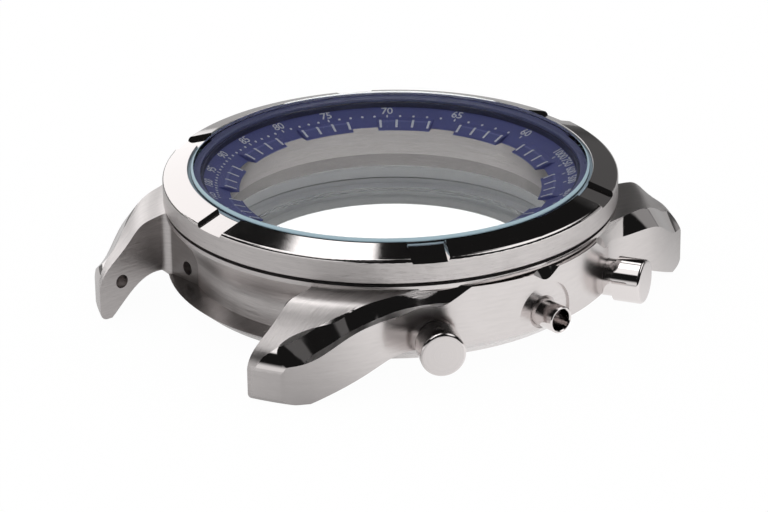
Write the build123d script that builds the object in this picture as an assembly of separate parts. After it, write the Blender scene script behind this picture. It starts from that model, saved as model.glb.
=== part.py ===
from build123d import *
import math
import os

# Empty chronograph watch case, in millimetres. Z runs up through the crystal,
# X runs towards the crown and Y towards twelve o'clock. The origin is on the
# case axis, in the plane that the dial bears against.

# Sizes that drive the whole case
bezel_radius = 21.0
strap_gap = 22.0
lug_reach = 6.67
case_depth = 6.3

# Clearances
seat_gap = 0.02
running_gap = 0.05
overrun = 1.0

# Middle case, above the dial plane
shoulder_rise = 0.25
shoulder_inset = 0.1
neck_height = 0.7
bezel_skirt = 1.98
neck_wall = 1.5
dial_ledge = 2.0

# Middle case, below the dial plane
seat_depth = 2.98
relief_step = 0.3
relief_depth = 1.4
relief_cone = 0.4
back_wall = 1.31
back_ledge = 1.25
recess_depth = 0.6

# Plain wall between the lugs, with its flare, base flange and flats
wall_inset = 2.14
flare_radius = 3.13
flare_foot_drop = 4.0
flare_lean = 39.0
rim_drop = 0.15
base_width = 2.04
base_ledge_rise = 0.45
base_rim_rise = 0.25
base_lean_share = 1.17
facet_depth = 1.16
facet_fillet = 0.9

# Flank and lugs, in plan
crown_bulge = 0.6
pusher_bulge = 0.1
tip_width = 3.03
tip_fillet = 0.9
# Places along the line from the pusher to the lug tip, and outside it
flank_shares = ((0.159, -0.003), (0.411, 0.060), (0.614, 0.067), (0.855, 0.028))

# Lug section, turned about the case axis
tip_top_drop = 5.7
tip_bottom_drop = 8.7
foot_fillet = 0.7
foot_flat = 0.45
hem_rise = 0.7
hem_width = 0.85
# Shares of the way from the shoulder to the tip, and of the drop to the tip
lug_top_shares = ((0.13, 0.035), (0.325, 0.088), (0.507, 0.281), (0.65, 0.456), (0.886, 0.711))
# Shares of the way from the hem to the foot, and of the drop to the foot
lug_under_shares = ((0.24, 0.01), (0.58, 0.33))

# Polished bevel above the flank, as shares of the bezel radius: the distance
# along Y, then the bevel's upper and lower lines in X and Z
bevel_shares = (
    (0.0, 0.9929, 0.0143, 1.0286, -0.0476),
    (0.4286, 0.8810, 0.0095, 0.9152, -0.0619),
    (0.6190, 0.8143, -0.0048, 0.8405, -0.0905),
    (0.8095, 0.7595, -0.0262, 0.8238, -0.1024),
    (0.9524, 0.6857, -0.0905, 0.7667, -0.1738),
    (1.0714, 0.6238, -0.1595, 0.7048, -0.2357),
    (1.2286, 0.5333, -0.2429, 0.6095, -0.3333),
)
bevel_reach_share = 0.8
bevel_far_share = 1.35

# Holes in the middle case
spring_bar_radius = 0.65
spring_bar_depth = 1.6
spring_bar_point = 0.25
spring_bar_setback = 2.49
spring_bar_drop = 5.45
corrector_radius = 0.65
corrector_depth = 2.0
corrector_offset = 8.05
corrector_drop = 4.68

# Bezel
bezel_lift = 0.35
band_height = 2.16
bezel_bevel_rise = 0.74
bezel_bevel_width = 2.35
bezel_edge_break = 0.06
bezel_rim_round = 0.35
notch_count = 6
notch_first_angle = -30.0
notch_floor_width = 3.1
notch_depth = 0.35
notch_side_lean = 0.2
bezel_gasket_width = 1.2

# Crystal and its gasket
crystal_thickness = 1.8
crystal_edge_break = 0.2
crystal_gasket_wall = 0.26
crystal_gasket_foot = 0.28
crystal_gasket_height = 1.6

# Flange ring under the crystal
ring_height = 1.6
ring_rim = 0.28
ring_rim_height = 0.5
ring_cone_width = 2.4
ring_lip = 0.1
block_count = 12
block_angle = 20.0
block_top_height = 0.58
block_top_width = 0.82
block_face_width = 1.2
block_face_foot = 0.1

# Case back with its window
seam_gap = 0.06
back_height = 2.02
back_side_height = 1.0
back_foot_inset = 2.84
collar_gap = 0.25
collar_headroom = 0.15
collar_step = 0.1
back_gasket_height = 0.34
window_frame = 2.2
window_ledge = 1.0
window_ledge_height = 0.7
window_gasket_height = 0.2
window_thickness = 1.0
window_sink = 0.1
knife_notch_width = 3.0
knife_notch_depth = 0.6
knife_notch_height = 0.5
knife_notch_angle = 150.0

# Crown tube and its recess
crown_rise = 1.99
crown_recess_radius = 2.95
crown_recess_depth = 0.45
tube_radius = 1.25
tube_bore = 1.0
tube_reach = 1.97
tube_setback = 0.3
tube_edge_break = 0.08
countersink_width = 0.28
countersink_depth = 0.15

# Pushers, measured outwards along their own axes
pusher_angle = 29.06
pusher_rise = 1.55
cap_radius = 2.05
cap_length = 2.62
cap_end_wall = 0.55
cap_skirt_wall = 0.27
cap_face_reach = 3.77
cap_edge_round = 0.28
cap_travel = 0.6
collar_radius = 1.7
collar_wall = 0.35
collar_sink = 0.5
collar_stop_gap = 0.35
shank_radius = 1.2
stem_radius = 0.55
gland_wall = 0.35
gland_depth = 0.65
spring_wall = 0.24
spring_side_gap = 0.08
clip_thickness = 0.24
clip_width = 0.3
clip_groove = 0.16
clip_mouth = 0.7
stem_tail = 0.26

# Radii and heights worked out from the sizes above
shoulder_radius = bezel_radius - shoulder_inset
bezel_bore = bezel_radius - bezel_skirt
neck_radius = bezel_bore - seat_gap
pocket_radius = neck_radius - neck_wall
seat_radius = pocket_radius - dial_ledge
relief_radius = seat_radius + relief_step
wall_radius = shoulder_radius - wall_inset
recess_radius = wall_radius - back_wall
back_bore_radius = recess_radius - back_ledge
tip_radius = bezel_radius + lug_reach
neck_top = shoulder_rise + neck_height
bezel_bottom = shoulder_rise + bezel_lift
band_top = bezel_bottom + band_height
bezel_top = band_top + bezel_bevel_rise
opening_radius = bezel_radius - bezel_bevel_width
recess_top = recess_depth - case_depth
base_radius = wall_radius + base_width
base_foot_radius = base_radius - base_lean_share * base_rim_rise
tube_inner = recess_radius + tube_setback
crown_axis_z = crown_rise - case_depth
pusher_axis_z = pusher_rise - case_depth
shank_bore = shank_radius + seat_gap


def turned(*points):
    """Solid turned about Z from a closed outline of radius and height."""
    return revolve(make_face(Plane.XZ * Polyline(*points, close=True)), Axis.Z)


def turned_on_x(*points):
    """Solid turned about X from a closed outline of place and radius."""
    return revolve(make_face(Polyline(*points, close=True)), Axis.X)


def polar(radius, degrees):
    """Point at a radius and angle in plan."""
    return radius * math.cos(math.radians(degrees)), radius * math.sin(math.radians(degrees))


def central_ring():
    """Ring of the middle case, with the seats for dial, bezel and back."""
    lean = math.radians(flare_lean)
    middle_lean = lean / 2
    centre = wall_radius + flare_radius
    flare_top = (
        centre - flare_radius * math.cos(lean), flare_radius * math.sin(lean) - flare_foot_drop)
    flare_mid = (
        centre - flare_radius * math.cos(middle_lean),
        flare_radius * math.sin(middle_lean) - flare_foot_drop,
    )
    wall = Polyline(
        (shoulder_radius, -rim_drop), (shoulder_radius, shoulder_rise),
        (neck_radius, shoulder_rise), (neck_radius, neck_top),
        (pocket_radius, neck_top), (pocket_radius, 0),
        (seat_radius, 0), (seat_radius, -seat_depth),
        (relief_radius, -seat_depth), (relief_radius, -seat_depth - relief_depth),
        (back_bore_radius, -seat_depth - relief_depth - relief_cone),
        (back_bore_radius, recess_top), (recess_radius, recess_top),
        (recess_radius, -case_depth), (base_foot_radius, -case_depth),
        (base_radius, base_rim_rise - case_depth), (wall_radius, base_ledge_rise - case_depth),
        (wall_radius, -flare_foot_drop),
    )
    flare = ThreePointArc((wall_radius, -flare_foot_drop), flare_mid, flare_top)
    rim = Line(flare_top, (shoulder_radius, -rim_drop))
    return revolve(make_face(Plane.XZ * (wall + flare + rim)), Axis.Z)


def lug_section_ring():
    """Full ring with the section of the lugs, before it is cut in plan."""
    root = wall_radius - facet_depth / 2
    hem_in = shoulder_radius - hem_rise / 2
    hem_out = hem_in + hem_width
    hem_z = hem_rise - case_depth
    foot_in = tip_radius - foot_fillet - foot_flat
    top_run = tip_radius - shoulder_radius
    top_points = [(shoulder_radius, 0)]
    for along, down in lug_top_shares:
        top_points.append((shoulder_radius + along * top_run, -down * tip_top_drop))
    top_points.append((tip_radius, -tip_top_drop))
    under_points = [(hem_out, hem_z)]
    for along, down in lug_under_shares:
        under_points.append((
            hem_out + along * (foot_in - hem_out),
            hem_z - down * (tip_bottom_drop + hem_z),
        ))
    under_points.append((foot_in, -tip_bottom_drop))
    foot_mid = foot_fillet * (1 - math.sqrt(2) / 2)
    foot_arc = ThreePointArc(
        (tip_radius - foot_fillet, -tip_bottom_drop),
        (tip_radius - foot_mid, foot_mid - tip_bottom_drop),
        (tip_radius, foot_fillet - tip_bottom_drop),
    )
    outline = (
        Spline(*top_points)
        + Line((tip_radius, -tip_top_drop), (tip_radius, foot_fillet - tip_bottom_drop))
        + foot_arc
        + Line((tip_radius - foot_fillet, -tip_bottom_drop), (foot_in, -tip_bottom_drop))
        + Spline(*under_points)
        + Polyline(
            (hem_out, hem_z), (hem_in, -case_depth), (root, -case_depth),
            (root, 0), (shoulder_radius, 0),
        )
    )
    return revolve(make_face(Plane.XZ * outline), Axis.Z)


def side_plan():
    """Plan of the crown side, from one lug tip round to the other."""
    gap_x = strap_gap / 2
    facet_y = wall_radius - facet_depth
    facet_x = math.sqrt(wall_radius ** 2 - facet_y ** 2)
    tip_x = gap_x + tip_width
    tip_y = math.sqrt(tip_radius ** 2 - tip_x ** 2)
    inner_y = math.sqrt(tip_radius ** 2 - gap_x ** 2)
    crown_x = bezel_radius + crown_bulge
    seat_x, seat_y = polar(bezel_radius + pusher_bulge, pusher_angle)
    bulge = crown_x - seat_x
    arc_radius = (bulge ** 2 + seat_y ** 2) / (2 * bulge)
    run_x, run_y = tip_x - seat_x, tip_y - seat_y
    places = [(seat_x, seat_y)]
    for along, out in flank_shares:
        places.append((
            seat_x + along * run_x + out * run_y,
            seat_y + along * run_y - out * run_x,
        ))
    places.append((tip_x, tip_y))
    start = (-seat_y, seat_x - crown_x + arc_radius)
    finish = (tip_x - places[-2][0], tip_y - places[-2][1])
    flank = Spline(*places, tangents=(start, finish))
    half_angle = (math.atan2(tip_y, tip_x) + math.atan2(inner_y, gap_x)) / 2
    tip_mid = (tip_radius * math.cos(half_angle), tip_radius * math.sin(half_angle))
    tip = ThreePointArc((tip_x, tip_y), tip_mid, (gap_x, inner_y))
    walls = Polyline((gap_x, inner_y), (gap_x, facet_y), (facet_x, facet_y))
    half = flank + tip + walls
    crown_arc = ThreePointArc((seat_x, -seat_y), (crown_x, 0), (seat_x, seat_y))
    inside = Line((facet_x, facet_y), (facet_x, -facet_y))
    plan = make_face(half + mirror(half, Plane.XZ) + crown_arc + inside)
    hollow_corners = plan.vertices().filter_by(
        lambda v: abs(v.X - gap_x) < seat_gap and abs(v.Y) < facet_y + seat_gap)
    plan = fillet(hollow_corners, facet_fillet)
    tip_corners = plan.vertices().filter_by(
        lambda v: abs(v.X - tip_x) < seat_gap and abs(v.Y) > facet_y)
    return fillet(tip_corners, tip_fillet)


def bevel_cutter():
    """What the polished bevel takes off the crown side, lofted along Y."""
    mirrored = [(-row[0],) + row[1:] for row in bevel_shares[:0:-1]]
    far_x = bevel_far_share * bezel_radius
    sections = []
    for row in mirrored + list(bevel_shares):
        y, up_x, up_z, low_x, low_z = (bezel_radius * share for share in row)
        step_x = bevel_reach_share * (low_x - up_x)
        step_z = bevel_reach_share * (low_z - up_z)
        sections.append(make_face(Polyline(
            (up_x - step_x, y, up_z - step_z), (low_x + step_x, y, low_z + step_z),
            (far_x, y, low_z + step_z), (far_x, y, up_z - step_z), close=True,
        )))
    return loft(sections)


def crown_recess():
    """Spot face, countersink and hole for the crown tube."""
    floor_x = bezel_radius + crown_bulge - crown_recess_depth
    hole = tube_radius + seat_gap
    cut = turned_on_x(
        (seat_radius - overrun, 0), (seat_radius - overrun, hole),
        (floor_x - countersink_depth, hole), (floor_x, hole + countersink_width),
        (floor_x, crown_recess_radius), (floor_x + tube_reach, crown_recess_radius),
        (floor_x + tube_reach, 0),
    )
    return Pos(0, 0, crown_axis_z) * cut


def at_pusher(solid, side):
    """Solid made along X, set on the pusher axis of one side."""
    return Pos(0, 0, pusher_axis_z) * Rot(0, 0, side * pusher_angle) * solid


def pusher_hole():
    """Stepped hole for a pusher tube, along X."""
    face = bezel_radius + pusher_bulge
    return turned_on_x(
        (seat_radius - overrun, 0), (seat_radius - overrun, shank_bore),
        (face - collar_sink, shank_bore), (face - collar_sink, collar_radius + seat_gap),
        (face + overrun, collar_radius + seat_gap), (face + overrun, 0),
    )


def case_middle():
    """Middle case with its four lugs."""
    plan = side_plan()
    slab = extrude(Pos(0, 0, -tip_bottom_drop - overrun) * plan, tip_bottom_drop + 2 * overrun)
    side = lug_section_ring() & slab
    side -= bevel_cutter()
    middle = central_ring() + side + mirror(side, Plane.YZ)
    middle -= crown_recess()
    for side_sign in (1, -1):
        middle -= at_pusher(pusher_hole(), side_sign)
    bar_y = math.sqrt(tip_radius ** 2 - (strap_gap / 2) ** 2) - spring_bar_setback
    bar_end = strap_gap / 2 + spring_bar_depth
    bar_tip = bar_end + spring_bar_point
    bar = turned_on_x(
        (-bar_tip, 0), (-bar_end, spring_bar_radius), (bar_end, spring_bar_radius), (bar_tip, 0))
    for bar_place in (bar_y, -bar_y):
        middle -= Pos(0, bar_place, -spring_bar_drop) * bar
    corrector = Rot(90, 0, 0) * Cylinder(corrector_radius, 2 * corrector_depth)
    facet_y = wall_radius - facet_depth
    middle -= Pos(-corrector_offset, -facet_y, -corrector_drop) * corrector
    return middle


def bezel():
    """Fixed bezel with a polished cone and six milled notches."""
    edge = bezel_edge_break
    ring = turned(
        (bezel_bore, bezel_bottom), (bezel_radius - edge, bezel_bottom),
        (bezel_radius, bezel_bottom + edge), (bezel_radius, band_top),
        (opening_radius + edge, bezel_top),
        (opening_radius, bezel_top - edge), (opening_radius, ring_height),
        (pocket_radius, ring_height), (pocket_radius, neck_top + seat_gap),
        (bezel_bore, neck_top + seat_gap),
    )
    rim_edge = ring.edges().filter_by_position(Axis.Z, band_top - seat_gap, band_top + seat_gap)
    ring = fillet(rim_edge, bezel_rim_round)
    slope = math.hypot(bezel_bevel_width, bezel_bevel_rise)
    run = bezel_bevel_width / slope
    fall = bezel_bevel_rise / slope
    middle_radius = (bezel_radius + opening_radius) / 2
    middle_z = (band_top + bezel_top) / 2
    floor = Plane(
        origin=(middle_radius - notch_depth * fall, 0, middle_z - notch_depth * run),
        x_dir=(0, 1, 0), z_dir=(run, 0, -fall),
    )
    lean = notch_side_lean * 2
    section = Polyline(
        (-notch_floor_width / 2, 0), (notch_floor_width / 2, 0),
        (notch_floor_width / 2 + lean, 2 * notch_depth),
        (-notch_floor_width / 2 - lean, 2 * notch_depth), close=True,
    )
    cutter = extrude(make_face(floor * section), bezel_bevel_width, both=True)
    for index in range(notch_count):
        ring -= Rot(0, 0, notch_first_angle + index * 360 / notch_count) * cutter
    return ring


def bezel_gasket():
    """Flat gasket that shows as the dark line under the bezel."""
    inner = bezel_bore + seat_gap
    return turned(
        (inner, shoulder_rise + seat_gap), (inner + bezel_gasket_width, shoulder_rise + seat_gap),
        (inner + bezel_gasket_width, bezel_bottom - seat_gap), (inner, bezel_bottom - seat_gap),
    )


def crystal():
    """Flat crystal with a broken edge."""
    radius = opening_radius - crystal_gasket_wall - 2 * seat_gap
    bottom = ring_height + crystal_gasket_foot + 2 * seat_gap
    top = bottom + crystal_thickness
    edge = crystal_edge_break
    return turned(
        (0, bottom), (radius - edge, bottom), (radius, bottom + edge),
        (radius, top - edge), (radius - edge, top), (0, top),
    )


def crystal_gasket():
    """Gasket of L section round and under the crystal."""
    outer = opening_radius - seat_gap
    inner = outer - crystal_gasket_wall
    foot_bottom = ring_height + seat_gap
    foot_top = foot_bottom + crystal_gasket_foot
    return turned(
        (pocket_radius, foot_bottom), (outer, foot_bottom),
        (outer, foot_bottom + crystal_gasket_height), (inner, foot_bottom + crystal_gasket_height),
        (inner, foot_top), (pocket_radius, foot_top),
    )


def flange_ring():
    """Sloping chapter ring with twelve hour blocks on its inside."""
    outer = pocket_radius - seat_gap
    cone_top = pocket_radius - ring_rim
    cone_foot = cone_top - ring_cone_width
    cone_height = ring_height - ring_rim_height
    ring = turned(
        (outer, 0), (outer, ring_height), (cone_top, ring_height), (cone_top, cone_height),
        (cone_foot, ring_lip), (cone_foot, 0),
    )
    share = (block_top_height - ring_lip) / (cone_height - ring_lip)
    back = cone_foot + share * ring_cone_width + ring_rim / 2
    block_top = back - block_top_width - ring_rim / 2
    profile = make_face(Plane.XZ * Polyline(
        (back, 0), (back, block_top_height), (block_top, block_top_height - ring_lip / 2),
        (block_top - block_face_width, block_face_foot), (block_top - block_face_width, 0),
        close=True,
    ))
    block = Rot(0, 0, -block_angle / 2) * revolve(profile, Axis.Z, block_angle)
    for index in range(block_count):
        ring += Rot(0, 0, (index + 1 / 2) * 360 / block_count) * block
    return ring


def back_sizes():
    """Radii and heights that the case back shares with what it carries."""
    top = -case_depth - seam_gap
    bottom = top - back_height
    radius = base_foot_radius - base_lean_share * seam_gap
    side_foot = radius - base_lean_share * back_side_height
    foot = side_foot - back_foot_inset
    opening = foot - window_frame
    glass_seat = opening + window_ledge
    ledge_top = bottom + window_ledge_height
    return top, bottom, radius, side_foot, foot, opening, glass_seat, ledge_top


def case_back():
    """Snap-on case back with a collar, a window seat and a knife notch."""
    top, bottom, radius, side_foot, foot, opening, glass_seat, ledge_top = back_sizes()
    collar_out = recess_radius - collar_gap
    collar_in = back_bore_radius + collar_step
    collar_top = recess_top - collar_headroom
    glass_top = ledge_top + window_gasket_height + 2 * seat_gap + window_thickness
    inside = glass_top + window_sink
    back = turned(
        (opening, bottom), (foot, bottom), (side_foot, top - back_side_height),
        (radius, top), (collar_out, top), (collar_out, collar_top),
        (collar_in, collar_top), (collar_in, inside), (glass_seat, inside),
        (glass_seat, ledge_top), (opening, ledge_top),
    )
    notch = Box(2 * knife_notch_depth, knife_notch_width, 2 * knife_notch_height)
    return back - Rot(0, 0, knife_notch_angle) * Pos(radius, 0, top) * notch


def case_back_gasket():
    """Gasket round the collar of the case back."""
    top = -case_depth - seam_gap
    inner = recess_radius - collar_gap + seat_gap
    outer = recess_radius - running_gap
    low = top + seat_gap
    return turned(
        (inner, low), (outer, low),
        (outer, low + back_gasket_height), (inner, low + back_gasket_height),
    )


def back_window():
    """Flat glass of the case back."""
    glass_seat, ledge_top = back_sizes()[-2:]
    radius = glass_seat - seat_gap
    low = ledge_top + window_gasket_height + 2 * seat_gap
    return turned((0, low), (radius, low), (radius, low + window_thickness), (0, low + window_thickness))


def back_window_gasket():
    """Flat gasket under the glass of the case back."""
    opening, glass_seat, ledge_top = back_sizes()[-3:]
    low = ledge_top + seat_gap
    inner = opening + seat_gap
    outer = glass_seat - seat_gap
    return turned(
        (inner, low), (outer, low),
        (outer, low + window_gasket_height), (inner, low + window_gasket_height),
    )


def crown_tube():
    """Tube that the crown would screw or push over."""
    end = bezel_radius + crown_bulge + tube_reach
    edge = tube_edge_break
    tube = turned_on_x(
        (tube_inner, tube_bore), (tube_inner, tube_radius), (end - edge, tube_radius),
        (end, tube_radius - edge), (end, tube_bore + edge), (end - edge, tube_bore),
    )
    return Pos(0, 0, crown_axis_z) * tube


def pusher_sizes():
    """Places along the pusher axis that its pieces share."""
    face = bezel_radius + pusher_bulge
    cap_end = bezel_radius + cap_face_reach
    cap_inside = cap_end - cap_end_wall
    collar_end = cap_inside - cap_travel - collar_stop_gap
    collar_base = face - collar_sink + seat_gap
    gland_end = collar_base + collar_wall
    return cap_end, cap_inside, collar_end, collar_base, gland_end


def pusher_tube():
    """Pusher tube, a collar with a pressed shank, along X."""
    collar_end, collar_base, gland_end = pusher_sizes()[2:]
    bore = stem_radius + running_gap
    spring_pocket = collar_radius - collar_wall
    gland = stem_radius + gland_wall + running_gap
    return turned_on_x(
        (tube_inner, bore), (tube_inner, shank_radius), (collar_base, shank_radius),
        (collar_base, collar_radius), (collar_end, collar_radius), (collar_end, spring_pocket),
        (gland_end, spring_pocket), (gland_end, gland),
        (gland_end - gland_depth, gland), (gland_end - gland_depth, bore),
    )


def pusher_button():
    """Pusher cap with a hollow skirt and its stem, along X."""
    cap_end, cap_inside = pusher_sizes()[:2]
    clip_out = tube_inner - running_gap
    clip_in = clip_out - clip_thickness
    neck = stem_radius - clip_groove
    skirt = cap_radius - cap_skirt_wall
    button = turned_on_x(
        (clip_in - seat_gap - stem_tail, 0), (clip_in - seat_gap - stem_tail, stem_radius),
        (clip_in - seat_gap, stem_radius), (clip_in - seat_gap, neck),
        (clip_out + seat_gap, neck), (clip_out + seat_gap, stem_radius),
        (cap_inside, stem_radius), (cap_inside, skirt), (cap_end - cap_length, skirt),
        (cap_end - cap_length, cap_radius), (cap_end, cap_radius), (cap_end, 0),
    )
    return fillet(button.edges().group_by(Axis.X)[-1], cap_edge_round)


def pusher_spring():
    """Return spring inside the cap, kept as a plain sleeve, along X."""
    cap_inside, collar_end, collar_base, gland_end = pusher_sizes()[1:]
    outer = collar_radius - collar_wall - spring_side_gap
    inner = outer - spring_wall
    return turned_on_x(
        (gland_end + seat_gap, inner), (gland_end + seat_gap, outer),
        (cap_inside - seat_gap, outer), (cap_inside - seat_gap, inner),
    )


def pusher_seal():
    """Ring seal round the stem, along X."""
    gland_end = pusher_sizes()[-1]
    room = gland_wall - running_gap
    centre = Vector(gland_end - gland_depth / 2, stem_radius + running_gap + room / 2 + seat_gap)
    section = Pos(centre.X, centre.Y, 0) * Circle(room / 2)
    return revolve(section, Axis.X)


def pusher_clip():
    """Retaining clip in the groove of the stem, with an open mouth, along X."""
    clip_out = tube_inner - running_gap
    inner = stem_radius - clip_groove + seat_gap
    outer = stem_radius + clip_width
    clip = turned_on_x(
        (clip_out - clip_thickness, inner), (clip_out - clip_thickness, outer),
        (clip_out, outer), (clip_out, inner),
    )
    mouth = Box(4 * clip_thickness, clip_mouth, 2 * outer)
    return clip - Pos(clip_out, 0, outer) * mouth


def save(solid, name):
    """Write one node."""
    export_step(solid, os.path.join("parts", name + ".step"))


os.makedirs("parts", exist_ok=True)
save(case_middle(), "case_middle")
save(bezel(), "bezel")
save(bezel_gasket(), "bezel_gasket")
save(crystal(), "crystal")
save(crystal_gasket(), "crystal_gasket")
save(flange_ring(), "flange_ring")
save(case_back(), "case_back")
save(case_back_gasket(), "case_back_gasket")
save(back_window(), "back_window")
save(back_window_gasket(), "back_window_gasket")
save(crown_tube(), "crown_tube")
pusher_pieces = {
    "tube": pusher_tube, "button": pusher_button, "spring": pusher_spring,
    "seal": pusher_seal, "clip": pusher_clip,
}
for side_name, side_sign in (("upper", 1), ("lower", -1)):
    for piece_name, make_piece in pusher_pieces.items():
        save(at_pusher(make_piece(), side_sign), f"pusher_{side_name}_{piece_name}")
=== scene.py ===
import bmesh
import bpy
import math
from mathutils import Matrix, Vector


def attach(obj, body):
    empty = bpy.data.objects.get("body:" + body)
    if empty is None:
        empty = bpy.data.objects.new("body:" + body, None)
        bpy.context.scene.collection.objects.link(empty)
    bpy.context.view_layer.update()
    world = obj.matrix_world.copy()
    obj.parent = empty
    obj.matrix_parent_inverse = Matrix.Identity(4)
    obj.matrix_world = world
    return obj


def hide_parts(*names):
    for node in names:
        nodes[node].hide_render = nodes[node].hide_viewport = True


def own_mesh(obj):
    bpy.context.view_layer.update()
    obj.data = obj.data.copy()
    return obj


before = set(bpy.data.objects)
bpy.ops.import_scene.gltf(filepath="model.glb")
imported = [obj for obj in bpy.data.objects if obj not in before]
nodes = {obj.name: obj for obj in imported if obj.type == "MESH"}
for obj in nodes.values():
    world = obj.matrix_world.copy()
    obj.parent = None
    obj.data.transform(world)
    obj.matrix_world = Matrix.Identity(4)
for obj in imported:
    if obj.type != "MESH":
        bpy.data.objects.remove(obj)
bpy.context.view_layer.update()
MM = 0.001

# Camera, from the fit to the photograph
IMAGE_WIDTH = 768
IMAGE_HEIGHT = 512
FOCAL_PIXELS = 3569.38
SENSOR = 36.0
CAMERA_DISTANCE = 0.330
AIM_POINT = (0, 0, 0.6 * MM)
AIM_PIXEL = (390.483, 192.11)
AZIMUTH = math.radians(50.588)
ELEVATION = math.radians(22.439)
ROLL = math.radians(-0.661)
FLOOR_Z = -8.7 * MM


def make_camera():
    """Camera at the photograph's viewing angle, aimed so that no lens shift is needed."""
    flat = math.cos(ELEVATION)
    back = Vector((math.sin(AZIMUTH) * flat, -math.cos(AZIMUTH) * flat, math.sin(ELEVATION)))
    right = Vector((math.cos(AZIMUTH), math.sin(AZIMUTH), 0))
    up = back.cross(right)
    rolled_right = math.cos(ROLL) * right + math.sin(ROLL) * up
    rolled_up = -math.sin(ROLL) * right + math.cos(ROLL) * up
    base = Matrix((rolled_right, rolled_up, back)).transposed()
    across = (AIM_PIXEL[0] - IMAGE_WIDTH / 2) / FOCAL_PIXELS
    down = (AIM_PIXEL[1] - IMAGE_HEIGHT / 2) / FOCAL_PIXELS
    seen = Vector((across, -down, -1)).normalized()
    turn = seen.rotation_difference(Vector((0, 0, -1))).to_matrix()
    data = bpy.data.cameras.new("camera")
    data.sensor_width = SENSOR
    data.lens = SENSOR * FOCAL_PIXELS / IMAGE_WIDTH
    data.clip_start = 0.01
    camera = bpy.data.objects.new("camera", data)
    rotation = (base @ turn).to_4x4()
    camera.matrix_world = Matrix.Translation(Vector(AIM_POINT) + CAMERA_DISTANCE * back) @ rotation
    bpy.context.scene.collection.objects.link(camera)
    bpy.context.scene.camera = camera


class Graph:
    """Adds nodes to a material or world and links them."""

    def __init__(self, owner):
        owner.use_nodes = True
        self.tree = owner.node_tree
        self.tree.nodes.clear()

    def put(self, socket, value):
        if isinstance(value, bpy.types.NodeSocket):
            self.tree.links.new(value, socket)
        elif value is not None:
            socket.default_value = value

    def add(self, kind, values=None, **settings):
        made = self.tree.nodes.new(kind)
        for key, value in settings.items():
            setattr(made, key, value)
        for key, value in (values or {}).items():
            self.put(made.inputs[key], value)
        return made

    def math(self, operation, *values):
        made = self.add("ShaderNodeMath", operation=operation)
        for index, value in enumerate(values):
            self.put(made.inputs[index], value)
        return made.outputs[0]

    def times(self, product, *others):
        """Product of two or more values."""
        for other in others:
            product = self.math("MULTIPLY", product, other)
        return product

    def vector(self, operation, *values):
        made = self.add("ShaderNodeVectorMath", operation=operation)
        for index, value in enumerate(values):
            self.put(made.inputs[index], value)
        return made.outputs["Value" if operation in ("LENGTH", "DOT_PRODUCT") else "Vector"]

    def smooth(self, value, low, high):
        made = self.add("ShaderNodeMapRange", interpolation_type="SMOOTHSTEP")
        for key, item in (("Value", value), ("From Min", low), ("From Max", high)):
            self.put(made.inputs[key], item)
        return made.outputs[0]

    def band(self, value, low, high, soft):
        """1 between low and high, with soft edges."""
        rise = self.smooth(value, low - soft, low + soft)
        fall = self.smooth(value, high + soft, high - soft)
        return self.times(rise, fall)

    def mix(self, factor, a, b):
        made = self.add("ShaderNodeMix", data_type="FLOAT")
        for key, item in ((0, factor), (2, a), (3, b)):
            self.put(made.inputs[key], item)
        return made.outputs[0]

    def blend(self, factor, a, b):
        made = self.add("ShaderNodeMix", data_type="RGBA")
        for key, item in ((0, factor), (6, a), (7, b)):
            self.put(made.inputs[key], item)
        return made.outputs[2]

    def noise(self, place, scale, detail=2.0, roughness=0.5):
        values = {"Vector": place, "Scale": scale, "Detail": detail, "Roughness": roughness}
        return self.add("ShaderNodeTexNoise", values).outputs[0]

    def stretched(self, place, sizes):
        return self.vector("MULTIPLY", place, Vector(sizes))

    def scaled(self, vector, factor):
        """Vector or colour times one number."""
        made = self.add("ShaderNodeVectorMath", {"Scale": factor}, operation="SCALE")
        self.put(made.inputs[0], vector)
        return made.outputs["Vector"]

    def mix_shaders(self, share, a, b):
        made = self.add("ShaderNodeMixShader")
        for index, item in enumerate((share, a.outputs[0], b.outputs[0])):
            self.put(made.inputs[index], item)
        return made.outputs[0]


def split(graph, vector):
    made = graph.add("ShaderNodeSeparateXYZ", {"Vector": vector})
    return made.outputs[0], made.outputs[1], made.outputs[2]


def plan_angle(graph, x, y):
    """Angle in plan from X towards Y, from 0 to 360 degrees."""
    angle = graph.math("DEGREES", graph.math("ARCTAN2", y, x))
    return graph.math("FLOORED_MODULO", angle, 360.0)


def plan_radius(graph, x, y):
    """Distance from the axis of the case."""
    return graph.math("SQRT", graph.math("ADD", graph.times(x, x), graph.times(y, y)))


# Studio, as seen in the polished steel: plan angle from and to, elevation from and to,
# softness and level
STUDIO = (
    (149, 200, -2, 41, 2, 1.25),
    (168, 202, 40, 62, 4, 1.1),
    (225, 283, 48, 74, 3, 1.2),
    (68, 104, -20, 20, 3, 0.30),
    (298, 315, 42, 53, 1, 0.11),
    (286, 297, 34, 39, 1, 0.05),
    (144, 159.5, 46.8, 60, 1.2, 1.7),
    (104, 131, -20, 32, 3, 0.09),
    (131, 149, -20, 6, 4, 0.16),
    (18, 100, 38, 64, 6, 1.25),
    (150, 250, 64, 82, 5, 1.35),
    (200, 300, -20, 14, 6, 0.85),
)
DARK_LEVEL = 0.010
# What the inside sees through the crystal, and what the crystal's lower face mirrors
INSIDE_LEVEL = 0.85
VEIL_LEVEL = 0.03
# Makes up for what four glass faces reflect at this low angle
THROUGH_GLASS_LEVEL = 1.9
# Soft lamp behind the part and overhead: degrees, metres and watts
LAMP_PLAN = 200
LAMP_RISE = 72
LAMP_DISTANCE = 0.6
LAMP_SIZE = 0.3
LAMP_POWER = 0.25
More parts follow.
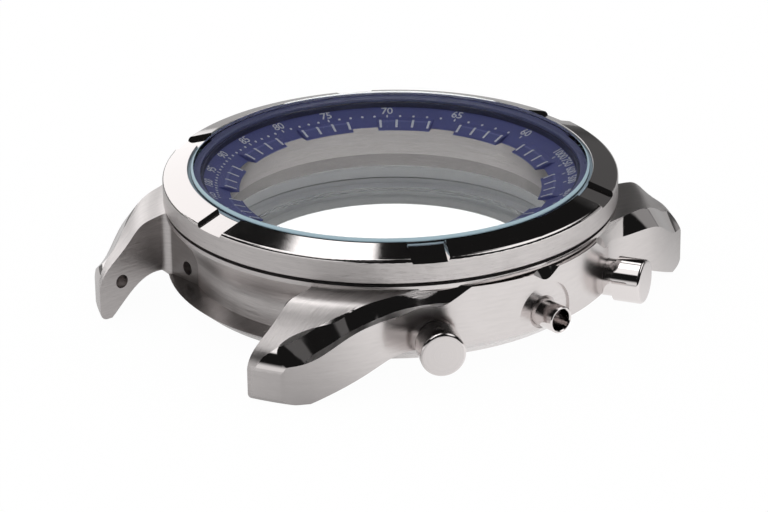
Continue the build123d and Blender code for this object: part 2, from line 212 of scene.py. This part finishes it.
# Floor, in metres, and how bright reflections see it by plan angle, in degrees
FLOOR_RADIUS = 4.0
FLOOR_CORNERS = 96
FLOOR_COLOR = (0.93, 0.93, 0.93, 1)
FLOOR_LIT_PLAN = 8.0
FLOOR_LIT_FADE = (0.35, 0.95)
FLOOR_LIT_LEVEL = 1.05
FLOOR_LEFT_PLAN = (175, 300, 18)
FLOOR_LEFT_LEVEL = 0.55
FLOOR_FAR_LEVEL = 0.32
# Dark card on the floor that only reflections see
CARD_PLAN = (172, 215, 3)
CARD_RADIUS = (0.048, 0.052)
CARD_LEVEL = 0.03
# Share of the floor's light that doesn't come from the lamp, by kind of ray
FLOOR_SHARES = (("Is Camera Ray", 0.97), ("Is Transmission Ray", 0.95), ("Is Glossy Ray", 0.85))


def make_world():
    """White to the camera and to diffuse rays, a studio of soft boxes to polished metal."""
    world = bpy.data.worlds.new("studio")
    bpy.context.scene.world = world
    graph = Graph(world)
    place = graph.add("ShaderNodeTexCoord").outputs["Generated"]
    x, y, z = split(graph, place)
    plan = plan_angle(graph, x, y)
    rise = graph.math("DEGREES", graph.math("ARCSINE", z))
    total = DARK_LEVEL
    for plan_low, plan_high, rise_low, rise_high, soft, level in STUDIO:
        soft_box = graph.times(
            graph.band(plan, plan_low, plan_high, soft),
            graph.band(rise, rise_low, rise_high, soft), level)
        total = graph.math("MAXIMUM", total, soft_box)
    path = graph.add("ShaderNodeLightPath")
    through = path.outputs["Is Transmission Ray"]
    reflected = graph.math("SUBTRACT", path.outputs["Is Glossy Ray"], through)
    one_pane = graph.math("LESS_THAN", path.outputs["Transmission Depth"], 2.5)
    bounced = graph.math("GREATER_THAN", path.outputs["Glossy Depth"], 0.5)
    veil = graph.times(through, one_pane, bounced)
    level = graph.mix(through, 1.0, INSIDE_LEVEL)
    level = graph.mix(veil, level, VEIL_LEVEL)
    level = graph.mix(graph.math("MAXIMUM", reflected, 0.0), level, total)
    background = graph.add("ShaderNodeBackground", {"Color": (1, 1, 1, 1), "Strength": level})
    out = graph.add("ShaderNodeOutputWorld")
    graph.put(out.inputs["Surface"], background.outputs[0])
    world.cycles.sampling_method = "NONE"


def make_floor():
    """Pale floor that keeps a faint shadow; its level in reflections goes by place."""
    bpy.ops.mesh.primitive_circle_add(
        vertices=FLOOR_CORNERS, radius=FLOOR_RADIUS, fill_type="NGON", location=(0, 0, FLOOR_Z))
    floor = bpy.context.object
    floor.name = "floor"
    material = bpy.data.materials.new("floor_pale")
    graph = Graph(material)
    path = graph.add("ShaderNodeLightPath").outputs
    diffuse = graph.add("ShaderNodeBsdfDiffuse", {"Color": FLOOR_COLOR})
    place = graph.add("ShaderNodeTexCoord").outputs["Object"]
    x, y = split(graph, place)[:2]
    plan = plan_angle(graph, x, y)
    turn = graph.math("SUBTRACT", plan, FLOOR_LIT_PLAN)
    towards = graph.math("COSINE", graph.math("RADIANS", turn))
    level = graph.mix(graph.band(plan, *FLOOR_LEFT_PLAN), FLOOR_FAR_LEVEL, FLOOR_LEFT_LEVEL)
    level = graph.mix(graph.smooth(towards, *FLOOR_LIT_FADE), level, FLOOR_LIT_LEVEL)
    card = graph.times(
        graph.band(plan, *CARD_PLAN), graph.smooth(graph.vector("LENGTH", place), *CARD_RADIUS))
    level = graph.mix(card, level, CARD_LEVEL)
    bright = graph.mix(path["Is Glossy Ray"], 1.0, level)
    bright = graph.mix(path["Is Transmission Ray"], bright, THROUGH_GLASS_LEVEL)
    white = graph.add("ShaderNodeEmission", {"Color": (1, 1, 1, 1), "Strength": bright})
    share = 0.0
    for kind, own in FLOOR_SHARES:
        share = graph.math("MAXIMUM", share, graph.times(path[kind], own))
    out = graph.add("ShaderNodeOutputMaterial")
    graph.put(out.inputs["Surface"], graph.mix_shaders(share, diffuse, white))
    floor.data.materials.append(material)


def make_lamp():
    """Large soft lamp overhead, behind the part."""
    data = bpy.data.lights.new("soft_box", "AREA")
    data.shape = "SQUARE"
    data.size = LAMP_SIZE
    data.energy = LAMP_POWER
    lamp = bpy.data.objects.new("soft_box", data)
    plan, rise = math.radians(LAMP_PLAN), math.radians(LAMP_RISE)
    level = math.cos(rise)
    away = Vector((math.cos(plan) * level, math.sin(plan) * level, math.sin(rise)))
    lamp.location = LAMP_DISTANCE * away
    lamp.rotation_euler = away.to_track_quat("Z", "Y").to_euler()
    bpy.context.scene.collection.objects.link(lamp)


def principled(graph, **values):
    names = {
        "color": "Base Color", "metal": "Metallic", "rough": "Roughness", "ior": "IOR",
        "normal": "Normal", "coat": "Coat Weight", "coat_rough": "Coat Roughness",
        "through": "Transmission Weight", "specular": "Specular IOR Level",
    }
    shader = graph.add("ShaderNodeBsdfPrincipled", {names[k]: v for k, v in values.items()})
    out = graph.add("ShaderNodeOutputMaterial")
    graph.put(out.inputs["Surface"], shader.outputs[0])
    return shader


def bump(graph, height, distance, **more):
    """Surface direction from a height texture that is a distance in metres deep."""
    return graph.add("ShaderNodeBump", {"Height": height, "Distance": distance, **more}).outputs[0]


def start_material(name):
    """Material, its graph, place in millimetres and surface direction, in the part's frame."""
    material = bpy.data.materials.new(name)
    graph = Graph(material)
    place = graph.scaled(graph.add("ShaderNodeTexCoord").outputs["Object"], 1 / MM)
    normal = graph.add("ShaderNodeNewGeometry").outputs["Normal"]
    return material, graph, place, normal


STEEL = (0.74, 0.70, 0.69)
POLISH_ROUGH = (0.025, 0.075)
SATIN_SPREAD = 0.12
POLISH_DEPTH = 0.0006 * MM
BRUSH_DEPTH = 0.03 * MM


def streaks(graph, place, grain, size):
    """Fine brushing lines that run along the directions with a low grain."""
    coarse = graph.noise(graph.stretched(place, grain), size, 2.0, 0.5)
    fine = graph.noise(graph.stretched(place, grain), size * 4.0, 2.0, 0.6)
    return graph.mix(0.5, coarse, fine)


def steel_surface(graph, place, satin, lines, satin_rough, painted_shade=1.0):
    """Steel that is polished where satin is 0 and brushed along the lines where it is 1; a painted
    shade, when given, darkens the satin colour.
    """
    clouds = graph.noise(place, 0.35, 3.0)
    wear = graph.noise(place, 2.2, 4.0, 0.6)
    satin_level = graph.mix(lines, satin_rough - SATIN_SPREAD, satin_rough + SATIN_SPREAD)
    rough = graph.mix(satin, graph.mix(wear, *POLISH_ROUGH), satin_level)
    shade = graph.times(
        graph.mix(lines, 0.64, 1.16), graph.mix(clouds, 0.92, 1.04), painted_shade)
    color = graph.scaled(Vector(STEEL), graph.mix(satin, 1.0, shade))
    low = bump(graph, wear, POLISH_DEPTH)
    fine = bump(graph, lines, BRUSH_DEPTH, Strength=satin, Normal=low)
    return principled(graph, color=color, metal=1.0, rough=rough, normal=fine)


def float_curve(graph, value, spots):
    """Value read from a curve through spots that lie between 0 and 1."""
    made = graph.add("ShaderNodeFloatCurve")
    curve = made.mapping.curves[0]
    curve.points[0].location = spots[0]
    curve.points[-1].location = spots[-1]
    for spot in spots[1:-1]:
        curve.points.new(*spot)
    made.mapping.update()
    graph.put(made.inputs["Value"], value)
    return made.outputs[0]


# Upper line of the polished bevel in plan, along Y and across X, in millimetres
BEVEL_LINE = (
    (0, 20.85), (9, 18.50), (13, 17.10), (17, 15.95), (20, 14.40), (22.5, 13.10),
    (25.8, 11.20),
)
BEVEL_SPAN = 30.0
# Lower line of the polished bevel, along Y and down from the dial plane, in millimetres
BEVEL_FOOT = (
    (-26, 8.6), (-23.6, 7.0), (-22.45, 5.1), (-20.08, 3.39), (-17.79, 2.1), (-14.95, 1.52),
    (-10.84, 1.47), (-8.3, 1.38), (-6.3, 1.2), (-5, 1.05), (0, 1.0), (5, 1.05),
    (6.3, 1.28), (8.3, 1.4), (9.8, 1.6), (11.2, 1.95), (13.3, 2.1), (15.5, 2.35), (17, 7), (26, 7),
)
# Zones of the middle case, in millimetres, from where a zone starts to where it is full
BORE_EDGE = (16.6, 16.5)
SEAT_FOOT = -2.98
RELIEF_FOOT = -4.38
ZONE_FADE = 0.04
LEDGE_TOP = (-5.7, -5.8)
LEDGE_SIDE = (11.2, 10.9)
GAP_SIDE = (11.4, 11.2)
FLANK_RADIUS = (20.0, 20.6)
FLAT_SIDE = (10.9, 10.7)
FLAT_PLACE = (17.55, 17.65, 0.02)
# Painted shade on these zones: the flat, the relief and the seat wall made darker, at their tones
# in the photograph
FLAT_PAINTED_SHADE = 0.5
RELIEF_PAINTED_SHADE = 0.42
SEAT_PAINTED_SHADE = 0.66
# Painted reflection: pale colour given to the bores in place of steel
PAINTED_REFLECTION_COLOR = (0.93, 0.93, 0.93, 1)
LEDGE_POLISH = 0.3
FLANK_SATIN = 0.7
BACK_BORE_FOOT = (-8.35, -8.30)


def read_line(graph, along, rows):
    """Value at a place along Y from rows of place and value, in millimetres."""
    start, span = rows[0][0], rows[-1][0] - rows[0][0]
    spots = [((place - start) / span, value / BEVEL_SPAN) for place, value in rows]
    share = graph.math("DIVIDE", graph.math("SUBTRACT", along, start), span)
    return graph.math("MULTIPLY", float_curve(graph, share, spots), BEVEL_SPAN)


def make_pale(graph, shader, share):
    """Painted reflection: pale, non-metal colour in place of steel, guessed from the white that
    the photograph shows.
    """
    steel = shader.inputs["Base Color"].links[0].from_socket
    graph.put(shader.inputs["Base Color"], graph.blend(share, steel, PAINTED_REFLECTION_COLOR))
    graph.put(shader.inputs["Metallic"], graph.math("SUBTRACT", 1.0, share))


def material_case_middle():
    """Brushed tops and walls, polished bevels, base ledge and half-polished flanks, with painted
    shade in three zones and a painted pale reflection in the low bore.
    """
    material, graph, place, normal = start_material("steel_middle")
    x, y, z = split(graph, place)
    nz = split(graph, normal)[2]
    out_x = graph.math("ABSOLUTE", x)
    out_y = graph.math("ABSOLUTE", y)
    radius = plan_radius(graph, x, y)
    past_line = graph.math("SUBTRACT", out_x, read_line(graph, out_y, BEVEL_LINE))
    above_foot = graph.math("ADD", z, read_line(graph, y, BEVEL_FOOT))
    bevel = graph.times(
        graph.smooth(past_line, 0.02, 0.10), graph.smooth(nz, 0.12, 0.20),
        graph.smooth(above_foot, -0.02, 0.02))
    ledge = graph.times(
        graph.smooth(z, *LEDGE_TOP), graph.smooth(nz, 0.85, 0.93),
        graph.smooth(out_x, *LEDGE_SIDE))
    polished = graph.math("MAXIMUM", bevel, graph.times(ledge, LEDGE_POLISH))
    satin = graph.math("SUBTRACT", 1.0, polished)
    bore = graph.smooth(radius, *BORE_EDGE)
    flat = graph.times(graph.smooth(out_x, *FLAT_SIDE), graph.band(out_y, *FLAT_PLACE))
    relief = graph.times(bore, graph.band(z, RELIEF_FOOT, SEAT_FOOT, 0.03))
    seat_wall = graph.times(bore, graph.smooth(z, SEAT_FOOT, SEAT_FOOT + ZONE_FADE))
    shade = 1.0
    # Painted shade: the flat, the relief and the seat wall darkened to their set levels
    for zone, zone_shade in ((flat, FLAT_PAINTED_SHADE), (relief, RELIEF_PAINTED_SHADE), (seat_wall, SEAT_PAINTED_SHADE)):
        shade = graph.times(shade, graph.mix(zone, 1.0, zone_shade))
    upright = graph.smooth(graph.math("ABSOLUTE", nz), 0.30, 0.20)
    past_gap = graph.math("SUBTRACT", 1.0, graph.smooth(out_x, *GAP_SIDE))
    flank = graph.times(upright, graph.smooth(radius, *FLANK_RADIUS), past_gap)
    satin = graph.times(satin, graph.mix(flank, 1.0, FLANK_SATIN))
    level = streaks(graph, place, (0.12, 0.12, 1.6), 2.4)
    lengthways = streaks(graph, place, (1.3, 0.10, 0.14), 2.2)
    lines = graph.mix(graph.smooth(nz, 0.22, 0.32), level, lengthways)
    lines = graph.mix(graph.times(flank, 0.5), lines, 0.5)
    shader = steel_surface(graph, place, satin, lines, 0.33, shade)
    # Painted reflection: the low bore made pale in place of the white it shows
    low_bore = graph.times(bore, graph.smooth(z, RELIEF_FOOT + ZONE_FADE, RELIEF_FOOT))
    make_pale(graph, shader, low_bore)
    return material


def material_bezel():
    """Polished cone and rounding, and a band brushed round about."""
    material, graph, place, normal = start_material("steel_bezel")
    nz = split(graph, normal)[2]
    outward = graph.vector("NORMALIZE", graph.stretched(place, (1, 1, 0)))
    inward = graph.smooth(graph.vector("DOT_PRODUCT", outward, normal), -0.25, -0.4)
    satin = graph.math("MAXIMUM", graph.smooth(nz, 0.20, 0.06), inward)
    lines = streaks(graph, place, (0.10, 0.10, 4.0), 3.0)
    steel_surface(graph, place, satin, lines, 0.32)
    return material


def material_back():
    """Satin outside, and a bore painted pale as a painted reflection."""
    material, graph, place = start_material("steel_back")[:3]
    x, y, z = split(graph, place)
    bore = graph.times(
        graph.smooth(plan_radius(graph, x, y), *BORE_EDGE), graph.smooth(z, *BACK_BORE_FOOT))
    lines = streaks(graph, place, (0.25, 0.25, 4.0), 3.0)
    # Painted reflection: the bore made pale in place of steel
    make_pale(graph, steel_surface(graph, place, 0.7, lines, 0.28), bore)
    return material


def material_simple_steel(name, satin, grain, grain_size, satin_rough):
    material, graph, place = start_material(name)[:3]
    steel_surface(graph, place, satin, streaks(graph, place, grain, grain_size), satin_rough)
    return material


# Pushers: angle of their axes from X, height of the axes and reach of the push faces, in
# millimetres
PUSHER_ANGLE = math.radians(29.06)
PUSHER_Z = -4.75
PUSH_FACE = 24.77


def pusher_axis(side):
    """Outward axis of the upper pusher (side 1) or the lower one (side -1)."""
    angle = PUSHER_ANGLE * side
    return Vector((math.cos(angle), math.sin(angle), 0))


def material_pusher(name, side):
    """Polished sides, and a satin push face with fine turned rings."""
    material, graph, place, normal = start_material(name)
    axis = pusher_axis(side)
    end_face = graph.smooth(graph.vector("DOT_PRODUCT", normal, axis), 0.90, 0.97)
    offset = graph.vector("SUBTRACT", place, axis * PUSH_FACE + Vector((0, 0, PUSHER_Z)))
    ring = graph.vector("LENGTH", offset)
    ring_place = graph.add("ShaderNodeCombineXYZ", {"X": ring}).outputs[0]
    lines = graph.noise(ring_place, 7.0, 3.0, 0.7)
    wear = graph.noise(place, 2.2, 4.0, 0.6)
    rough = graph.mix(end_face, graph.mix(wear, 0.03, 0.08), graph.mix(lines, 0.24, 0.40))
    shade = graph.mix(end_face, 1.0, graph.mix(lines, 0.86, 1.05))
    fine = bump(graph, lines, 0.01 * MM, Strength=end_face)
    principled(
        graph, color=graph.scaled(Vector(STEEL), shade), metal=1.0, rough=rough, normal=fine)
    return material


def make_glass(name, tint, density):
    """Clear, faintly smeared glass: material, graph, place, shader and output."""
    material, graph, place = start_material(name)[:3]
    smear = graph.noise(place, 0.25, 3.0)
    shader = principled(
        graph, color=(1, 1, 1, 1), rough=graph.mix(smear, 0.0, 0.012), ior=1.5, through=1.0)
    absorb = graph.add("ShaderNodeVolumeAbsorption", {"Color": tint, "Density": density})
    out = shader.outputs[0].links[0].to_node
    graph.put(out.inputs["Volume"], absorb.outputs[0])
    return material, graph, place, shader, out


# Ground chamfer of the crystal, in millimetres
CHAMFER_RADIUS = (18.12, 18.17)
CHAMFER_Z = (3.40, 3.45)


def material_crystal():
    """Clear glass whose finely ground chamfer looks pale teal."""
    material, graph, place, clear, out = make_glass("glass_crystal", (0.45, 0.86, 0.92, 1), 14.0)
    x, y, z = split(graph, place)
    ground = graph.add("ShaderNodeBsdfPrincipled", {
        "Base Color": (0.34, 0.46, 0.52, 1), "Roughness": 0.4, "Specular IOR Level": 0.3})
    chamfer = graph.times(
        graph.smooth(plan_radius(graph, x, y), *CHAMFER_RADIUS), graph.smooth(z, *CHAMFER_Z))
    graph.put(out.inputs["Surface"], graph.mix_shaders(chamfer, clear, ground))
    return material


def material_paint(name, color, low_rough, high_rough, size, depth):
    """Rubber, plastic or ink with a fine skin."""
    material, graph, place = start_material(name)[:3]
    grain = graph.noise(place, size, 4.0, 0.6)
    principled(
        graph, color=graph.scaled(Vector(color), graph.mix(grain, 0.88, 1.12)),
        rough=graph.mix(grain, low_rough, high_rough), normal=bump(graph, grain, depth * MM))
    return material


# Chapter ring: foot of its rim, edge of its hour blocks and their top, in millimetres
RING_RIM_Z = 1.12
RING_BLOCK_EDGE = 15.15
RING_BLOCK_TOP = (0.42, 0.50)


def material_ring():
    """Blue enamel with a near-black rim and a painted highlight along the top edges of the hour
    blocks.
    """
    material, graph, place = start_material("enamel_blue")[:3]
    x, y, z = split(graph, place)
    grain = graph.noise(place, 6.0, 4.0, 0.6)
    rim = graph.smooth(z, RING_RIM_Z - 0.02, RING_RIM_Z + 0.02)
    # Painted highlight: a lighter strip along the top edge of each hour block
    past_edge = graph.math("SUBTRACT", plan_radius(graph, x, y), RING_BLOCK_EDGE)
    near_edge = graph.smooth(graph.math("ABSOLUTE", past_edge), 0.16, 0.04)
    edge = graph.times(near_edge, graph.smooth(z, *RING_BLOCK_TOP), 0.35)
    color = graph.blend(rim, (0.105, 0.115, 0.345, 1), (0.045, 0.048, 0.11, 1))
    color = graph.blend(edge, color, (0.30, 0.32, 0.70, 1))
    principled(
        graph, color=color, rough=graph.mix(grain, 0.40, 0.52), specular=0.25,
        normal=bump(graph, grain, 0.003 * MM), coat=0.08, coat_rough=0.15)
    return material


def material_crystal_gasket():
    """Clear plastic that looks teal where the crystal's rim shows through it."""
    material, graph, place = start_material("rubber_teal")[:3]
    z = split(graph, place)[2]
    grain = graph.noise(place, 5.0, 4.0, 0.6)
    color = graph.blend(
        graph.smooth(z, 2.10, 2.70), (0.20, 0.21, 0.40, 1), (0.030, 0.034, 0.055, 1))
    color = graph.blend(graph.smooth(z, 3.12, 3.20), color, (0.26, 0.33, 0.38, 1))
    principled(graph, color=color, rough=graph.mix(grain, 0.35, 0.5), specular=0.12)
    return material


def dress_nodes():
    """Give every node its material."""
    rubber = material_paint("rubber_black", (0.012, 0.012, 0.014), 0.35, 0.5, 5.0, 0.01)
    turned = material_simple_steel("steel_turned", 0.1, (4.0, 4.0, 4.0), 2.0, 0.2)
    spring = material_simple_steel("steel_spring", 0.5, (3.0, 3.0, 0.5), 3.0, 0.25)
    by_node = {
        "case_middle": material_case_middle(),
        "bezel": material_bezel(),
        "bezel_gasket": rubber,
        "crystal": material_crystal(),
        "crystal_gasket": material_crystal_gasket(),
        "flange_ring": material_ring(),
        "case_back": material_back(),
        "case_back_gasket": rubber,
        "back_window": make_glass("glass_window", (0.97, 0.99, 0.99, 1), 1.0)[0],
        "back_window_gasket": material_paint(
            "plastic_milky", (0.8, 0.82, 0.82), 0.4, 0.5, 4.0, 0.004),
        "crown_tube": turned,
    }
    for name, side in (("upper", 1), ("lower", -1)):
        by_node[f"pusher_{name}_tube"] = turned
        by_node[f"pusher_{name}_button"] = material_pusher(f"steel_push_{name}", side)
        by_node[f"pusher_{name}_spring"] = spring
        by_node[f"pusher_{name}_seal"] = rubber
        by_node[f"pusher_{name}_clip"] = spring
    for name, material in by_node.items():
        data = nodes[name].data
        for index in range(len(data.materials)):
            data.materials[index] = material


# Printed scale of the chapter ring, in millimetres, on the cone of the CAD ring
PRINT_LIFT = 0.02
CONE_TOP = (17.22, 1.1)
CONE_FOOT = (14.82, 0.1)
FIGURE_RADIUS = 16.72
FIGURE_HEIGHT = 0.86
CAPITAL_SHARE = 0.70
MARK_RADIUS = 16.08
MARK_CORNERS = 16
FIGURE_MARK = (0.36, 0.15)
STEP_MARK = (0.26, 0.24)
BLOCK_TOP = (15.15, 0.555)
BLOCK_TOE = (13.95, 0.1)
BLOCK_TICK_ANGLES = (-9, -3, 3, 9)
BLOCK_TICK_STOPS = (-0.12, 0.0, 0.78)
BLOCK_TICK_WIDTH = 0.22
SCALE_BASE = 21600
SCALE_FIGURES = (
    1000, 750, 600, 500, 400, 350, 300, 275, 250, 225, 200, 180, 160, 150, 140, 130, 120,
    115, 110, 105, 100, 95, 90, 85, 80, 75, 70, 65, 60,
)
CLOSE_MARKS_FROM = 100


def clock_directions(clock):
    """Outward and clockwise directions at an angle from twelve o'clock, in degrees."""
    angle = math.radians(clock)
    outward = Vector((math.sin(angle), math.cos(angle), 0))
    across = Vector((math.cos(angle), -math.sin(angle), 0))
    return outward, across


def make_piece(name, target, material):
    """Visible piece from a bmesh, which it frees."""
    mesh = bpy.data.meshes.new(name)
    target.to_mesh(mesh)
    target.free()
    mesh.materials.append(material)
    piece = bpy.data.objects.new(name, mesh)
    bpy.context.scene.collection.objects.link(piece)
    return piece


def cone_place(radius, clock):
    """Frame on the ring's cone: X clockwise, Y up the slope, Z out of the cone, in metres."""
    run, rise = CONE_TOP[0] - CONE_FOOT[0], CONE_TOP[1] - CONE_FOOT[1]
    slope = math.hypot(run, rise)
    height = CONE_FOOT[1] + (radius - CONE_FOOT[0]) * rise / run
    outward, across = clock_directions(clock)
    up_slope = (outward * run + Vector((0, 0, rise))) / slope
    normal = across.cross(up_slope)
    centre = outward * radius + Vector((0, 0, height)) + normal * PRINT_LIFT
    axes = Matrix((across, up_slope, normal)).transposed().to_4x4()
    return Matrix.Translation(centre * MM) @ axes


def add_figure(target, number):
    """One figure of the scale, printed on the cone."""
    curve = bpy.data.curves.new("figure", "FONT")
    curve.body = str(number)
    curve.align_x = "CENTER"
    curve.align_y = "CENTER"
    curve.size = FIGURE_HEIGHT / CAPITAL_SHARE * MM
    curve.space_character = 0.92
    curve.resolution_u = 2
    curve.offset = 0.012 * MM
    holder = bpy.data.objects.new("figure", curve)
    mesh = bpy.data.meshes.new_from_object(holder)
    mesh.transform(cone_place(FIGURE_RADIUS, SCALE_BASE / number))
    target.from_mesh(mesh)
    bpy.data.objects.remove(holder)
    bpy.data.curves.remove(curve)
    bpy.data.meshes.remove(mesh)


def add_mark(target, clock, length, width):
    """Round-ended dot or dash of the scale."""
    on_cone = cone_place(MARK_RADIUS, clock)
    outline = []
    for step in range(MARK_CORNERS):
        angle = 2 * math.pi * step / MARK_CORNERS
        shift = (length - width) / 2 * (1 if math.sin(angle) > 0 else -1)
        spot = Vector((width / 2 * math.cos(angle), width / 2 * math.sin(angle) + shift, 0))
        outline.append(target.verts.new(on_cone @ (spot * MM)))
    target.faces.new(outline)


def add_block_tick(target, clock):
    """White tick over the top edge of an hour block and down its face."""
    outward, across = clock_directions(clock)
    stops = []
    for share in BLOCK_TICK_STOPS:
        radius = BLOCK_TOP[0] + share * (BLOCK_TOE[0] - BLOCK_TOP[0])
        height = BLOCK_TOP[1] + max(share, 0.0) * (BLOCK_TOE[1] - BLOCK_TOP[1])
        stops.append(outward * (radius - PRINT_LIFT) + Vector((0, 0, height + 2 * PRINT_LIFT)))
    rows = []
    for stop in stops:
        rows.append([
            target.verts.new((stop + side * across * BLOCK_TICK_WIDTH / 2) * MM)
            for side in (-1, 1)])
    for first, second in zip(rows, rows[1:]):
        target.faces.new((first[0], first[1], second[1], second[0]))


def make_ring_print():
    """Figures, marks and block ticks in one piece on the chapter ring."""
    target = bmesh.new()
    for figure in SCALE_FIGURES:
        add_figure(target, figure)
        add_mark(target, SCALE_BASE / figure, *FIGURE_MARK)
    for figure in SCALE_FIGURES:
        if figure <= CLOSE_MARKS_FROM:
            for step in range(1, 5):
                if figure + step < CLOSE_MARKS_FROM + 5:
                    add_mark(target, SCALE_BASE / (figure + step), *STEP_MARK)
    for index in range(12):
        for angle in BLOCK_TICK_ANGLES:
            add_block_tick(target, (index + 0.5) * 30 + angle)
    ink = material_paint("print_white", (0.78, 0.80, 0.92), 0.35, 0.5, 8.0, 0.002)
    piece = make_piece("ring_print", target, ink)
    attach(piece, "case")


# Coil spring inside each pusher cap, in millimetres
COIL_RADIUS = 1.15
COIL_WIRE = 0.11
COIL_TURNS = 5.5
COIL_STEPS = 28
WIRE_SIDES = 8


def make_coil(name, side):
    """Return spring in place of the solids' plain sleeve."""
    node = nodes[f"pusher_{name}_spring"]
    axis = pusher_axis(side)
    across = Vector((-axis.y, axis.x, 0))
    up = Vector((0, 0, 1))
    along = [vertex.co.dot(axis) / MM for vertex in node.data.vertices]
    start, end = min(along) + COIL_WIRE, max(along) - COIL_WIRE
    foot = Vector((0, 0, PUSHER_Z))
    target = bmesh.new()
    rings = []
    steps = int(COIL_TURNS * COIL_STEPS)
    for step in range(steps + 1):
        turn = 2 * math.pi * step / COIL_STEPS
        outward = math.cos(turn) * across + math.sin(turn) * up
        reach = start + (end - start) * step / steps
        centre = foot + axis * reach + outward * COIL_RADIUS
        ring = []
        for corner in range(WIRE_SIDES):
            around = 2 * math.pi * corner / WIRE_SIDES
            spot = centre + COIL_WIRE * (math.cos(around) * outward + math.sin(around) * axis)
            ring.append(target.verts.new(spot * MM))
        rings.append(ring)
    for first, second in zip(rings, rings[1:]):
        for corner in range(WIRE_SIDES):
            after = (corner + 1) % WIRE_SIDES
            target.faces.new((first[corner], second[corner], second[after], first[after]))
    target.faces.new(rings[0])
    target.faces.new(list(reversed(rings[-1])))
    bmesh.ops.recalc_face_normals(target, faces=target.faces)
    for face in target.faces:
        face.smooth = len(face.verts) == 4
    piece = make_piece(f"pusher_{name}_coil", target, node.data.materials[0])
    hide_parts(f"pusher_{name}_spring")
    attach(piece, "case")
    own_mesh(piece)


make_camera()
make_world()
make_lamp()
make_floor()
dress_nodes()
make_ring_print()
make_coil("upper", 1)
make_coil("lower", -1)

view = bpy.context.scene.view_settings
view.view_transform = "Standard"
